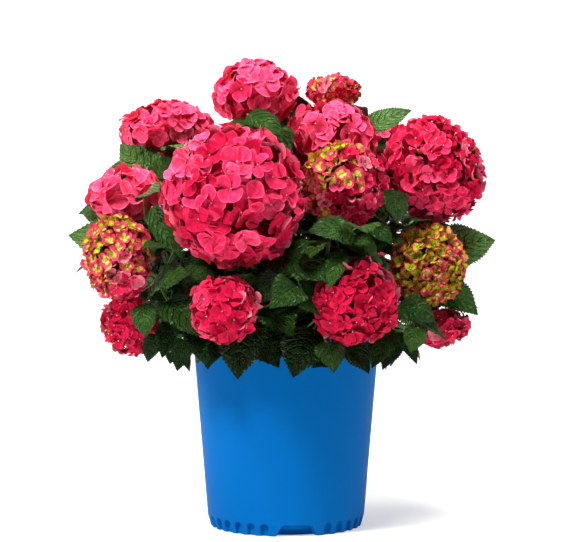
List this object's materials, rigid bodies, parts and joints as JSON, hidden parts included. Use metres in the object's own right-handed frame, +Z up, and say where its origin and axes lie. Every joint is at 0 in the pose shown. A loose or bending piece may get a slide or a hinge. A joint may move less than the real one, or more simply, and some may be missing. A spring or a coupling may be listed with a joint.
{
  "type": "potted bigleaf hydrangea",
  "caption": "Bushy flowering shrub with large round flower heads in pink and bud green and broad toothed leaves, standing in a round tapered nursery pot.",
  "frame": {"origin": "on the ground under the middle of the pot; the middle of the plant's box at its base, within a few millimetres", "axes": "+Z up; the front of the plant, with the largest flower head, faces -Y; +X is its right"},
  "size_m": [0.513, 0.4617, 0.5664],
  "materials": {
    "pot": "satin moulded",
    "potting_mix": "moist and crumbly",
    "bark": "matte",
    "petals": "soft matte",
    "bud_petals": "soft matte",
    "foliage": "waxy"
  },
  "bodies": {
    "root": {"pot": "pot", "potting_mix": "potting_mix", "crown": "bark", "cane_upper_left": "bark", "cane_back_top": "bark", "cane_left": "bark", "cane_front_left": "bark", "cane_upper_right": "bark", "cane_front_right": "bark", "cane_right": "bark", "cane_back_left": "bark", "cane_back_right": "bark", "cane_back": "bark", "flower_shoot_top_left": "petals", "flower_shoot_top_right": "petals", "flower_shoot_upper_left": "petals", "flower_shoot_left": "petals", "flower_shoot_centre": "petals", "flower_shoot_upper_right": "petals", "flower_shoot_centre_right": "petals", "flower_shoot_right": "petals", "flower_shoot_lower_left": "petals", "flower_shoot_low_left": "petals", "flower_shoot_low_front_left": "petals", "flower_shoot_low_front_right": "petals", "flower_shoot_lower_right": "bud_petals", "flower_shoot_low_right": "petals", "flower_shoot_back_upper_left": "petals", "flower_shoot_back_top": "petals", "flower_shoot_back_upper_right": "petals", "flower_shoot_back_left": "petals", "flower_shoot_back_centre": "petals", "flower_shoot_back_right": "petals", "flower_shoot_back_far_right": "petals", "flower_shoot_low_back": "petals", "leafy_shoot_1": "foliage", "leafy_shoot_2": "foliage", "leafy_shoot_3": "foliage", "leafy_shoot_4": "foliage", "leafy_shoot_5": "foliage", "leafy_shoot_6": "foliage", "leafy_shoot_7": "foliage", "leafy_shoot_8": "foliage", "leafy_shoot_9": "foliage", "leafy_shoot_10": "foliage"}
  },
  "joints": []
}
